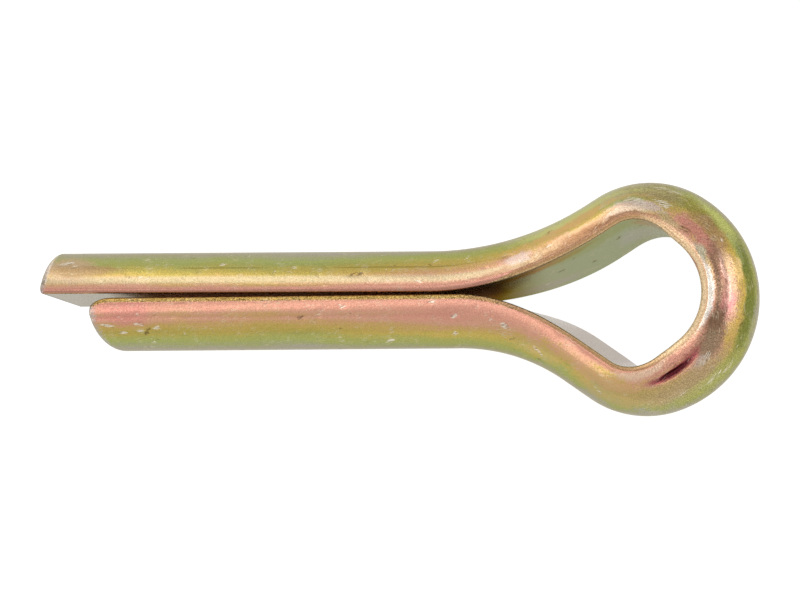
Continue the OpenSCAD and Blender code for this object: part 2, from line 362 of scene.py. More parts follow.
    # the section is rolled, then set across the path; a sheared end slides it along the leg
    section = addNode(tree, "ShaderNodeCombineXYZ",
                      {0: value["sectionU"], 1: value["sectionW"]}).outputs[0]
    slide = addNode(tree, "ShaderNodeVectorMath", {0: section, 1: value["slant"]},
                    operation="DOT_PRODUCT").outputs["Value"]
    rolled = addNode(tree, "ShaderNodeVectorRotate", {"Vector": section, "Angle": value["unroll"]},
                     rotation_type="Z_AXIS").outputs[0]
    across = addNode(tree, "ShaderNodeSeparateXYZ", {0: rolled}).outputs
    out = addNode(tree, "ShaderNodeVectorMath", {0: value["outward"], "Scale": across[0]},
                  operation="SCALE").outputs[0]
    back = addNode(tree, "ShaderNodeMath", {0: slide, 1: -1.0}, operation="MULTIPLY").outputs[0]
    up = addNode(tree, "ShaderNodeCombineXYZ", {0: back, 2: across[1]}).outputs[0]
    offset = addNode(tree, "ShaderNodeVectorMath", {0: out, 1: up}).outputs[0]
    place = addNode(tree, "ShaderNodeVectorMath", {0: value["place"], 1: offset}).outputs[0]
    skin = addNode(tree, "GeometryNodeSetPosition", {"Geometry": skin, "Position": place}).outputs[0]
    normal = addNode(tree, "GeometryNodeInputNormal").outputs[0]
    value["facing"] = addNode(tree, "ShaderNodeVectorMath", {0: normal, 1: given["Film Axis"]},
                              operation="DOT_PRODUCT").outputs["Value"]
    workOut(tree, value, (("eitherWay", "ABSOLUTE", "facing"), ("filmTilt", "ARCCOSINE", "eitherWay")))
    for name in ("normalAngle", "skinAngle", "skinReach", "creaseShare", "troughShare", "filmTilt"):
        skin = addNode(tree, "GeometryNodeStoreNamedAttribute",
                       {"Geometry": skin, "Name": name, "Value": value[name]},
                       data_type="FLOAT").outputs[0]
    closeTree(tree, skin, given["Material"])
    return tree


struck = {                      # nicks, scuffs and pits, laid out on the wire's unrolled skin
    "placed": (  # mm from the long tip, degrees up the back, mm long and wide, degrees turned, tone
        (2.4, 47, 1.5, 0.40, 15, 0.9), (3.2, 52, 0.8, 0.3, 20, 0.6), (0.6, 75, 0.5, 0.4, 0, 0.6),
        (2.3, 100, 0.5, 0.35, 0, 0.7), (10.2, 70, 0.4, 0.3, 0, -0.4), (11.9, 70, 1.4, 0.8, 0, 0.35),
        (163.3, 54, 0.9, 0.32, -18, 0.9), (162.0, 60, 1.6, 0.18, -60, 0.5),
        (160.9, 68, 1.3, 0.18, 55, 0.6), (162.3, 44, 0.6, 0.3, 10, 0.9), (161.1, 46, 1.0, 0.25, 5, 0.7),
        (160.2, 45, 1.8, 0.35, 60, -0.9), (159.0, 51, 1.0, 0.3, 30, 0.8), (157.1, 54, 1.2, 0.35, 0, -0.3),
        (156.0, 49, 0.9, 0.3, 30, 0.4), (160.4, 17, 1.2, 0.5, 0, 0.5), (30.2, 56, 0.9, 0.5, 0, 0.5),
        (37.9, 67, 1.6, 0.6, 10, -0.5), (41.5, 75, 0.9, 0.3, 0, 0.4), (42.5, 54, 0.6, 0.4, 0, -0.4),
        (34.6, 31, 0.7, 0.4, 0, 0.3), (139.0, 67, 1.3, 0.7, 30, 0.4), (141.3, 62, 1.1, 0.5, 0, -0.5),
        (141.6, 44, 1.4, 0.6, 0, 0.3), (136.3, 75, 1.2, 0.4, 0, 0.6), (138.0, 34, 0.8, 0.5, 0, -0.3),
        (134.4, 49, 1.2, 0.5, 0, 0.3), (130.7, 26, 1.4, 0.6, 30, 0.6), (133.7, 23, 0.8, 0.4, 0, -0.3),
        (122.8, 62, 0.7, 0.35, 25, 0.9), (122.8, 39, 0.6, 0.4, 0, 0.8), (116.0, 61, 1.0, 0.6, 0, 0.8),
        (118.0, 63, 0.5, 0.3, 40, 0.7), (110.7, 48, 1.5, 0.4, -20, 0.6), (109.7, 34, 1.3, 0.5, 0, -0.4),
        (47.4, 46, 2.2, 0.2, 50, 0.6), (56.7, 62, 1.3, 0.5, 0, -0.4), (62.3, 70, 1.0, 0.4, 0, 0.5),
        (73.1, 64, 2.0, 0.9, -30, 0.5), (75.4, 36, 2.0, 1.2, 20, 0.4), (75.7, 60, 1.8, 0.8, 0, 0.6),
        (78.4, 72, 1.5, 0.7, 20, -0.5), (92.6, 51, 1.4, 0.7, 20, 0.5), (93.0, 22, 2.0, 1.0, 0, 0.4),
        (91.8, 18, 1.5, 0.8, 0, 0.4), (96.1, 33, 1.6, 0.9, 0, 0.3), (66.6, 245, 0.7, 0.4, 0, -0.8),
        (62.5, 226, 0.8, 0.4, 10, -0.7), (70.5, 220, 0.7, 0.4, 20, -0.7), (73.2, 203, 0.6, 0.4, 0, -0.7),
        (64.5, 205, 0.6, 0.4, 0, -0.5), (58.0, 240, 0.9, 0.4, 20, 0.5), (60.5, 255, 0.8, 0.4, -10, 0.5)),
    "spacing": 3.2,             # millimetres between the scattered ones, about
    "lengths": (0.25, 1.1),
    "widths": (0.10, 0.30),
    "turns": (-0.9, 0.9),       # radians
    "tones": (-0.6, 0.9),       # below 0 a dark pit, above it a pale rub
    "skinLength": 165.0,        # millimetres of the wire that they are scattered over,
    "skinTurn": 170.0,          # and degrees of its back
    "depth": 0.03,
    "seed": 7,
}


def placedMarks():  # one point for each mark, on the unrolled skin
    mesh = bpy.data.meshes.new("placedMarks")
    mesh.from_pydata([(along * mm, math.radians(angle) * wire["backRadius"] * mm, 0)
                      for along, angle, *rest in struck["placed"]], [], [])
    for column, (name, unit) in enumerate((("markLength", mm), ("markWidth", mm),
                                           ("markTurn", math.pi / 180), ("markTone", 1)), 2):
        store(mesh, name, [mark[column] * unit for mark in struck["placed"]])
    return linked("placedMarks", mesh)


markSizes = {                   # the tree's inputs: metres
    "Skin Length": struck["skinLength"] * mm,
    "Skin Width": math.radians(struck["skinTurn"]) * wire["backRadius"] * mm,
    "Spacing": struck["spacing"] * mm,
    "Shortest": struck["lengths"][0] * mm,
    "Longest": struck["lengths"][1] * mm,
    "Narrowest": struck["widths"][0] * mm,
    "Widest": struck["widths"][1] * mm,
    "Least Turn": struck["turns"][0],
    "Most Turn": struck["turns"][1],
    "Darkest": struck["tones"][0],
    "Palest": struck["tones"][1],
    "Depth": struck["depth"] * mm,
}


def marksTree():
    tree, given = newTree("struckMarks", markSizes, Placed="Object", Seed="Int")
    value = {name: given[name] for name in markSizes}

    # marks scattered over a sheet of the unrolled skin, each with its own length, width, turn and tone
    sheet = addNode(tree, "GeometryNodeMeshGrid",
                    {"Size X": given["Skin Length"], "Size Y": given["Skin Width"],
                     "Vertices X": 2, "Vertices Y": 2}).outputs[0]
    workOut(tree, value, (
        ("middle", "MULTIPLY", "Skin Length", 0.5),
        ("density", "POWER", "Spacing", -2.0)))
    middle = addNode(tree, "ShaderNodeCombineXYZ", {0: value["middle"]}).outputs[0]
    sheet = addNode(tree, "GeometryNodeSetPosition", {"Geometry": sheet, "Offset": middle}).outputs[0]
    marks = addNode(tree, "GeometryNodeDistributePointsOnFaces",
                    {"Mesh": sheet, "Density": value["density"], "Seed": given["Seed"]}).outputs["Points"]
    for name, low, high, shift in (("markLength", "Shortest", "Longest", 10.0),
                                   ("markWidth", "Narrowest", "Widest", 20.0),
                                   ("markTurn", "Least Turn", "Most Turn", 30.0),
                                   ("markTone", "Darkest", "Palest", 40.0)):
        seed = addNode(tree, "ShaderNodeMath", {0: given["Seed"], 1: shift}, operation="ADD").outputs[0]
        limits = {"Min": given[low], "Max": given[high], "Seed": seed}
        chance = addNode(tree, "FunctionNodeRandomValue", limits, data_type="FLOAT").outputs["Value"]
        marks = addNode(tree, "GeometryNodeStoreNamedAttribute",
                        {"Geometry": marks, "Name": name, "Value": chance}, data_type="FLOAT").outputs[0]
    marks = addNode(tree, "GeometryNodePointsToVertices", {0: marks}).outputs[0]
    placed = addNode(tree, "GeometryNodeObjectInfo", {"Object": given["Placed"]}).outputs["Geometry"]
    join = addNode(tree, "GeometryNodeJoinGeometry", {0: marks})
    tree.links.new(placed, join.inputs[0])
    marks = join.outputs[0]

    # each point of the skin looks up the mark nearest to it
    for name in ("along", "skinReach", "markLength", "markWidth", "markTurn", "markTone"):
        value[name] = addNode(tree, "GeometryNodeInputNamedAttribute", {"Name": name},
                              data_type="FLOAT").outputs[0]
    here = addNode(tree, "ShaderNodeCombineXYZ", {0: value["along"], 1: value["skinReach"]}).outputs[0]
    nearest = addNode(tree, "GeometryNodeSampleNearest", {"Geometry": marks, "Sample Position": here},
                      domain="POINT").outputs[0]
    spot = addNode(tree, "GeometryNodeInputPosition").outputs[0]
    there = addNode(tree, "GeometryNodeSampleIndex", {"Geometry": marks, "Value": spot, "Index": nearest},
                    data_type="FLOAT_VECTOR", domain="POINT").outputs[0]
    found = {name: addNode(tree, "GeometryNodeSampleIndex",
                           {"Geometry": marks, "Value": value[name], "Index": nearest},
                           data_type="FLOAT", domain="POINT").outputs[0]
             for name in ("markLength", "markWidth", "markTurn", "markTone")}
    away = addNode(tree, "ShaderNodeVectorMath", {0: here, 1: there}, operation="SUBTRACT").outputs[0]
    away = addNode(tree, "ShaderNodeVectorRotate", {"Vector": away, "Angle": found["markTurn"]},
                   rotation_type="Z_AXIS").outputs[0]
    size = addNode(tree, "ShaderNodeCombineXYZ",
                   {0: found["markLength"], 1: found["markWidth"], 2: 1.0}).outputs[0]
    away = addNode(tree, "ShaderNodeVectorMath", {0: away, 1: size}, operation="DIVIDE").outputs[0]
    value["away"] = addNode(tree, "ShaderNodeVectorMath", {0: away}, operation="LENGTH").outputs["Value"]
    value["tone"] = found["markTone"]
    workOut(tree, value, (
        ("share", "STEP", "away", 0.9, 0.35),          # whole inside, and gone near its outer border
        ("struck", "MULTIPLY", "share", "tone"),
        ("sunk", "MULTIPLY", "share", "Depth"),
        ("down", "MULTIPLY", "sunk", -1.0)))
    skin = addNode(tree, "GeometryNodeStoreNamedAttribute",
                   {"Geometry": given["Geometry"], "Name": "struck", "Value": value["struck"]},
                   data_type="FLOAT").outputs[0]
    normal = addNode(tree, "GeometryNodeInputNormal").outputs[0]
    dent = addNode(tree, "ShaderNodeVectorMath", {0: normal, "Scale": value["down"]},
                   operation="SCALE").outputs[0]
    skin = addNode(tree, "GeometryNodeSetPosition", {"Geometry": skin, "Offset": dent}).outputs[0]
    closeTree(tree, skin, given["Material"])
    return tree


def sweptWire(material):
    path, ring, marks = pathObject(), outlineObject(), placedMarks()
    for tree, sizes in ((sweepTree(), dict(sweep, Outline=ring)),
                        (marksTree(), dict(markSizes, Placed=marks, Seed=struck["seed"]))):
        modifier = path.modifiers.new(tree.name, "NODES")
        modifier.node_group = tree
        inputs = {item.name: item.identifier for item in tree.interface.items_tree
                  if item.item_type == "SOCKET" and item.in_out == "INPUT"}
        for name, size in dict(sizes, Material=material).items():
            modifier[inputs[name]] = size
    graph = bpy.context.evaluated_depsgraph_get()
    mesh = bpy.data.meshes.new_from_object(path.evaluated_get(graph), depsgraph=graph)
    path.modifiers.clear()
    path.data = mesh
    bpy.data.objects.remove(ring)
    bpy.data.objects.remove(marks)
    mesh.shade_smooth()
    print("swept wire:", len(mesh.vertices), "points,", sum(len(p.vertices) - 2 for p in mesh.polygons),
          "triangles")
    return path


# Zinc electroplated on drawn steel, then passivated in a chromate bath. The thin film splits the light
# into bands of rose, straw, olive and grey as the wire turns away. Where the wire was struck it is pale.
plating = {
    "filmColours": (            # degrees from the film axis, colour
        (0, "#C28B78"), (12, "#C68F79"), (17, "#C3947A"), (22, "#BD946C"), (28, "#BA9A60"),
        (33, "#B39B55"), (38, "#AC9A50"), (43, "#A19853"), (48, "#989857"), (54, "#959A5B"),
        (60, "#949869"), (67, "#99987F"), (75, "#9B998F"), (90, "#A19F9C")),
    "legEdgeColours": (         # degrees up the back, colour: the rounded edge
        (84, "#C8947A"), (90, "#BE9668"), (100, "#A5884E"), (122, "#A88A4C"), (142, "#BE9A5C"),
        (160, "#AC7C48"), (180, "#8C5A0C")),
    "flankEdgeColours": (
        (66, "#B08468"), (80, "#A27962"), (96, "#9E7858"), (112, "#AE8A62"), (128, "#C6A47A"),
        (150, "#B89E70"), (180, "#8A8A64")),
    "crownEdgeColours": (
        (84, "#C8A088"), (98, "#D2AC88"), (114, "#E2C49C"), (150, "#E8D0A6"), (180, "#C0B08A")),
    "longEdgeShade": 0.27,      # how much darker the long leg's lower edge is than its film: painted shade beside the gap between the legs
    "legFlatColour": "#A8701A",
    "tipFlatColour": "#BCBBC0",
    "longFlatColour": "#9AA286",
    "shortFlatColour": "#C1B7C6",
    "crownAt": 85.7,            # millimetres along the wire, at the crown's middle
    "zones": {                  # millimetres from there: where each begins, and where it is whole
        "inCrown": (16, 10), "atCrown": (13, 8), "inLoop": (20, 13), "inEye": (33, 25),
        "nearEye": (50, 32), "pastShoulder": (40, 31), "pastNeck": (43, 37), "outOfFlank": (26, 34),
        "inNeck": (24, 31), "inGap": (30, 37), "inTip": (72, 77)},
    "legEdgeLead": -66.0,       # degrees that the rounded edge starts later on the long leg,
    "flankEdgeLead": 22.0,      # and sooner on its side of the eye
    "flankShift": -13.0,        # degrees that the bands shift on the flanks
    "legEdgeShift": -30.0,      # and on the long leg's rounded edge
    "rimColour": "#A9A39F",     # the ends' worn rims
    "fleckColour": "#C3B89E",
    "crestHighlightColour": "#BDAC88",  # the long leg's crest: a paler band, a painted highlight
    "crestHighlightAt": 73.0,           # degrees up the back
    "lineColour": "#7C6A30",    # a fine score from the drawing die, along the long leg
    "lineAt": 56.5,
    "scratch": (0.9, 0.11),     # millimetres long and wide: what struck marks are made of
    "scratchTurn": 0.4,         # radians
    "patch": 9.0,               # millimetres across a patch of thicker or thinner film
    "patchShift": 9.0,          # degrees that a patch shifts the bands
    "blotch": 2.857,            # the same, smaller, in the eye alone
    "blotchShift": 16.0,
    "fleck": 1.818,             # millimetres between specks of thin film
    "streak": (9.0, 0.4),       # millimetres long and wide: drawing marks, wider than real to show
    "streakShift": 5.0,
    "grain": 0.24,              # millimetres: zinc crystals, ten times too coarse so that they show
    "grainShift": 5.0,
    "grainHeight": 0.04,        # millimetres
    "sand": 0.15,               # millimetres: the edges' and the crown's rougher skin, too coarse too
    "stainsAndPaintedLight": (  # mm from the long tip, degrees up the back, mm long and wide, share, colour
        # the film's own stains, with some painted highlights and painted shade, each marked below
        (86.0, 24, 12.0, 2.2, 0.9, "#6A7034"), (85.6, 44, 10.0, 2.0, 0.8, "#CCAC54"),
        (85.9, 56, 9.0, 3.0, 0.8, "#C09484"), (87.4, 57, 3.0, 1.8, 0.7, "#CA7E80"),
        # (86.4, 79.5): painted highlight along the crown's ridge
        (83.0, 57, 3.0, 2.2, 0.7, "#CCAE84"), (86.4, 79.5, 9.0, 1.3, 0.95, "#E6E0D6"),
        # (85.5, 68): painted shade in the crown's trough
        (85.5, 68, 8.0, 0.9, 0.6, "#8F7458"), (79.6, 27, 5.0, 2.2, 0.9, "#A9AC66"),
        (77.6, 40, 5.5, 2.2, 0.9, "#8B853E"), (80.2, 50, 5.0, 2.6, 0.8, "#9C7A58"),
        (79.4, 65, 5.5, 1.8, 0.9, "#B97C6E"), (82.8, 62, 4.0, 2.0, 0.8, "#7C5E4C"),
        (89.6, 63, 4.4, 2.8, 0.95, "#735945"), (91.6, 59, 3.6, 2.8, 0.9, "#8A745C"),
        (93.2, 51, 2.0, 1.2, 0.5, "#B4AFAC"), (94.8, 38, 8.0, 3.6, 0.8, "#AC9272"),
        (81.4, 76, 2.4, 1.2, 0.7, "#A8AC94"), (82.4, 140, 3.4, 4.0, 0.7, "#C88A78"),
        # (84.6, 50) and (85.0, 58.5): painted highlights on the crown's dome
        (84.6, 50, 2.6, 1.4, 0.3, "#E2BE98"), (85.0, 58.5, 5.0, 0.7, 0.8, "#E6B8A6"),
        # (85.5, 62.5): painted shade in the trough, between the dome's highlights
        (85.5, 62.5, 6.0, 0.5, 0.6, "#9C6E5E"), (76.3, 75, 3.0, 1.2, 0.7, "#A89A70"),
        # (73.2, 70): painted highlight on the long shoulder's crest
        (74.6, 42, 5.0, 4.0, 0.8, "#8F8260"), (73.2, 70, 5.0, 1.4, 0.9, "#C2B0A6"),
        (98.5, 79, 5.0, 1.4, 0.7, "#CDB49A"), (2.4, 57, 7.5, 4.2, 0.85, "#B4987E"),
        (161.6, 70, 4.0, 3.6, 0.5, "#C47E76"), (66.0, 33, 17.0, 2.0, 0.85, "#B2B88C"),
        (66.0, 44, 16.0, 1.5, 0.9, "#B8B678"), (66.0, 55, 16.0, 1.6, 0.7, "#C69E6C"),
        (66.0, 71, 15.0, 1.2, 0.8, "#C8A27E"), (66.5, 80, 18.0, 1.7, 0.9, "#9E7454"),
        (61.5, 75.5, 6.5, 1.0, 0.9, "#C2A17C"), (62.5, 65, 6.0, 0.7, 0.6, "#BE946C"),
        (70.5, 81.5, 7.0, 1.2, 0.8, "#7E5A42"), (70.0, 73.5, 6.0, 0.8, 0.6, "#B08A68"),
        # (52.0, 225): painted shade in the neck, where the legs part
        (105.5, 86, 15.0, 1.3, 0.8, "#9A6E5C"), (52.0, 225, 8.0, 14.0, 0.9, "#5E4632"),
        (61.5, 187, 13.0, 2.0, 0.85, "#9A7040"), (68.0, 192, 14.0, 3.4, 0.5, "#8C9458"),
        (60.0, 262, 10.0, 3.0, 0.5, "#A89E9C"), (74.5, 190, 4.0, 2.4, 0.7, "#A07A52"),
        (72.5, 236, 5.0, 5.0, 0.6, "#A6A4A0"), (58.0, 70, 4.0, 1.4, 0.6, "#CBBCB2"),
        # (93.4, 67): painted shade along the crease
        (96.5, 64, 5.0, 1.6, 0.8, "#B98470"), (93.4, 67, 4.0, 0.9, 0.7, "#9A5A52"),
        # (9.2, 200): painted shade in the gap between the legs
        (9.2, 200, 3.4, 5.0, 0.8, "#6E4426"), (77.2, 108, 6.5, 1.4, 0.75, "#B08C6A"),
        (84.2, 40, 1.8, 1.4, 0.7, "#E8C486"), (54.6, 80, 5.0, 1.0, 0.6, "#A87C62"),
        # (72.3, 76): painted highlight on the long shoulder's crest
        (72.3, 76, 4.4, 1.0, 0.6, "#E0CAB4"), (4.5, 60, 10.0, 1.8, 0.85, "#9A7E58"),
        (113.0, 121, 8.0, 1.2, 0.8, "#BE8C7A"), (99.5, 48, 10.0, 3.4, 0.6, "#AE9468"),
        (94.0, 20, 8.0, 3.0, 0.7, "#9C9A5C"), (103.5, 66, 10.0, 2.6, 0.6, "#C79C78"),
        (110.5, 48, 9.0, 2.4, 0.5, "#B4A06A")),
    "stainBend": (2.2, 1.5, 0.0),   # millimetres that a stain's border wanders, along and across
    "paleColour": "#D4CAB8",    # rubbed marks
    "darkColour": "#544029",    # pits
    # painted shade in the crease
    "creaseShadeColour": "#401019",
    "creaseHaloShadeColour": "#96454F",    # painted shade round the crease
    # the trough's colour: darker and grainy, partly the crown's sandier film, partly painted shade in the
    # dent
    "troughColour": "#93705A",
    "tintAtEdge": "#E0D9C8",    # what the film leaves of light that grazes it
    "tintOnFlat": "#D1CBBB",    # on the flats
    "shadeTintInNeck": "#A8926E",    # and where the legs part: painted shade
    "shadeTintInGap": "#D8A04A",     # and between them: painted shade in the gap
    "roughness": 0.21,
    "edgeRoughness": 0.14,      # added on the sandy edges
    "crestRoughness": 0.25,     # added under the crown's crest
}


def platingMaterial():
    material = bpy.data.materials.new("yellowZincPlate")
    material.use_nodes = True
    tree = material.node_tree
    tree.nodes.clear()
    shader = addNode(tree, "ShaderNodeBsdfPrincipled", {"Metallic": 1.0})
    addNode(tree, "ShaderNodeOutputMaterial", {0: shader.outputs[0]})
    value = {name: addNode(tree, "ShaderNodeAttribute", attribute_name=name).outputs["Fac"]
             for name in ("filmTilt", "normalAngle", "skinAngle", "skinReach", "along", "fromEnd",
                          "creaseShare", "troughShare", "struck")}

    # every pattern is measured in millimetres, in the metal itself or on its unrolled skin
    place = addNode(tree, "ShaderNodeTexCoord").outputs["Object"]
    unrolled = addNode(tree, "ShaderNodeCombineXYZ", {0: value["along"], 1: value["skinReach"]}).outputs[0]
    place, unrolled = [addNode(tree, "ShaderNodeVectorMath", {0: vector, "Scale": 1 / mm},
                               operation="SCALE").outputs[0] for vector in (place, unrolled)]
    turned = addNode(tree, "ShaderNodeVectorRotate", {"Vector": unrolled, "Angle": plating["scratchTurn"]},
                     rotation_type="Z_AXIS").outputs[0]
    for name, vector, detail in (("patch", place, 3.0), ("blotch", place, 4.0), ("fleck", place, 5.0),
                                 ("grain", place, 2.0), ("sand", place, 1.0), ("streak", unrolled, 2.0),
                                 ("scratch", turned, 1.0)):
        scale = 1.0
        if isinstance(plating[name], tuple):
            finer = tuple(1 / size for size in plating[name]) + (1.0,)
            vector = addNode(tree, "ShaderNodeVectorMath", {0: vector, 1: finer},
                             operation="MULTIPLY").outputs[0]
        else:
            scale = 1 / plating[name]
        noise = addNode(tree, "ShaderNodeTexNoise", {"Vector": vector, "Scale": scale, "Detail": detail})
        value[name], value[name + "Way"] = noise.outputs[0], noise.outputs[1]

    degree = math.pi / 180
    shifts = {name: plating[name + "Shift"] / 2 * degree
              for name in ("patch", "blotch", "streak", "grain")}
    workOut(tree, value, (
        ("fromCrown", "SUBTRACT", "along", plating["crownAt"] * mm),
        ("crownAway", "ABSOLUTE", "fromCrown"),
        ("onLong", "STEP", "fromCrown", -8 * mm, -16 * mm),
        ("onShort", "STEP", "fromCrown", -3 * mm, 3 * mm),
        *((zone, "STEP", "crownAway", start * mm, whole * mm)
          for zone, (start, whole) in plating["zones"].items()),
        ("endRim", "STEP", "fromEnd", 1.3 * mm, 0.1 * mm),
        *((name + "Shift", "STEP", name, 0.3, 0.7, -shift, shift) for name, shift in shifts.items()),
        ("speck", "SUBTRACT", "grain", 0.5),
        ("sandSpeck", "SUBTRACT", "sand", 0.5),
        ("scratchLine", "SUBTRACT", "scratch", 0.5),

        # places round the section
        ("angleAbs", "ABSOLUTE", "skinAngle"),
        ("onFlat", "STEP", "normalAngle", 172 * degree, 179 * degree),
        ("underCrest", "STEP", "angleAbs", 112 * degree, 136 * degree),
        ("roundEdge", "STEP", "angleAbs", 85 * degree, 125 * degree),
        # painted shade on the long leg's lower edge, beside the gap
        ("underShade", "STEP", "angleAbs", 88 * degree, 104 * degree, 0.0, -plating["longEdgeShade"]),
        # a paler band along the long leg's crest: a painted highlight
        ("crestHighlightAway", "APART", "angleAbs", plating["crestHighlightAt"] * degree),
        ("crestHighlightBand", "STEP", "crestHighlightAway", 7 * degree, 2 * degree, 0.0, 0.8),
        ("crestHighlightShare", "MULTIPLY", "crestHighlightBand", "onLong"),
        ("lineAway", "APART", "angleAbs", plating["lineAt"] * degree),
        ("lineBand", "STEP", "lineAway", 1.6 * degree, 0.4 * degree, 0.0, 0.6),
        ("lineBroken", "STEP", "streak", 0.42, 0.56),
        ("longLeg", "MULTIPLY", "onLong", "outOfFlank"),
        ("lineOnLeg", "MULTIPLY", "lineBand", "longLeg"),
        ("lineShare", "MULTIPLY", "lineOnLeg", "lineBroken"),

        # the rounded edge starts later on the long leg, and sooner on its side of the eye
        ("longFlank", "SUBTRACT", "onLong", "longLeg"),
        ("edgeStart", "MULTIPLY_ADD", "longLeg", plating["legEdgeLead"] * degree, "angleAbs"),
        ("edgeAngle", "MULTIPLY_ADD", "longFlank", plating["flankEdgeLead"] * degree, "edgeStart"),
        ("pastBack", "STEP", "edgeAngle", 85 * degree, 92 * degree),
        ("sandy", "STEP", "edgeAngle", 80 * degree, 90 * degree, 0.15, 1.0),

        # the film's bands by the way the skin faces, shifted by patches, streaks and grain
        ("eyeBlotch", "MULTIPLY", "blotchShift", "inEye"),
        ("eyeGrain", "MULTIPLY_ADD", "grainShift", "inEye", "grainShift"),
        ("shiftA", "ADD", "patchShift", "streakShift"),
        ("shiftB", "ADD", "shiftA", "eyeBlotch"),
        ("shiftC", "ADD", "shiftB", "eyeGrain"),
        ("onFlank", "SUBTRACT", "nearEye", "inLoop"),
        ("shiftD", "MULTIPLY_ADD", "onFlank", plating["flankShift"] * degree, "shiftC"),
        ("legRound", "MULTIPLY", "roundEdge", "longLeg"),
        ("shiftE", "MULTIPLY_ADD", "legRound", plating["legEdgeShift"] * degree, "shiftD"),
        ("filmAngle", "ADD", "filmTilt", "shiftE"),
        ("filmPlace", "DIVIDE", "filmAngle", math.pi / 2),
        ("edgePlace", "DIVIDE", "angleAbs", math.pi)))
    for name, along in (("film", "filmPlace"), ("legEdge", "edgePlace"), ("flankEdge", "edgePlace"),
                        ("crownEdge", "edgePlace")):
        stops = plating[name + "Colours"]
        most = stops[-1][0]
        ramp = addNode(tree, "ShaderNodeValToRGB", {0: value[along]})
        elements = ramp.color_ramp.elements
        for angle, code in stops[2:]:
            elements.new(angle / most)
        for element, (angle, code) in zip(elements, stops):
            element.position, element.color = angle / most, srgb(code)
        value[name] = ramp.outputs[0]
    workOut(tree, value, (
        ("eyeEdge", "MIX", "atCrown", "flankEdge", "crownEdge"),
        ("edge", "MIX", "pastShoulder", "legEdge", "eyeEdge"),
        ("skin", "MIX", "pastBack", "film", "edge"),
        # the painted highlight along the long leg's crest
        ("highlightedSkin", "MIX", "crestHighlightShare", "skin", plating["crestHighlightColour"]),
        ("lined", "MIX", "lineShare", "highlightedSkin", plating["lineColour"]),
        ("eyeFlat", "MIX", "onShort", plating["longFlatColour"], plating["shortFlatColour"]),
        ("legFlat", "MIX", "inTip", plating["legFlatColour"], plating["tipFlatColour"]),
        ("flat", "MIX", "pastNeck", "legFlat", "eyeFlat"),
        ("plate", "MIX", "onFlat", "lined", "flat"),
        # the crown's trough: its sandier film, with painted shade in the dent
        ("troughRough", "MULTIPLY_ADD", "speck", 2.2, "troughShare"),
        ("troughed", "STEP", "troughRough", 0.2, 1.2, 0.0, 0.8),
        ("stained", "MIX", "troughed", "plate", plating["troughColour"])))

    # stains and painted light: soft patches laid out on the unrolled skin, their borders bent by noise and
    # broken by grain; most are the film's own stains, some are painted highlights and painted shade
    bent = addNode(tree, "ShaderNodeVectorMath", {0: value["fleckWay"], 1: (0.5, 0.5, 0.5)},
                   operation="SUBTRACT").outputs[0]
    bent = addNode(tree, "ShaderNodeVectorMath", {0: bent, 1: plating["stainBend"], 2: unrolled},
                   operation="MULTIPLY_ADD").outputs[0]
    for along, angle, length, width, share, code in plating["stainsAndPaintedLight"]:
        centre = (along, math.radians(angle) * wire["backRadius"], 0.0)
        away = addNode(tree, "ShaderNodeVectorMath", {0: bent, 1: centre}, operation="SUBTRACT").outputs[0]
        away = addNode(tree, "ShaderNodeVectorMath", {0: away, 1: (2 / length, 2 / width, 0.0)},
                       operation="MULTIPLY").outputs[0]
        value["away"] = addNode(tree, "ShaderNodeVectorMath", {0: away},
                                operation="LENGTH").outputs["Value"]
        workOut(tree, value, (
            ("broken", "MULTIPLY_ADD", "speck", 0.9, "away"),
            ("inside", "STEP", "broken", 1.3, 0.45, 0.0, share),
            ("stained", "MIX", "inside", "stained", code)))

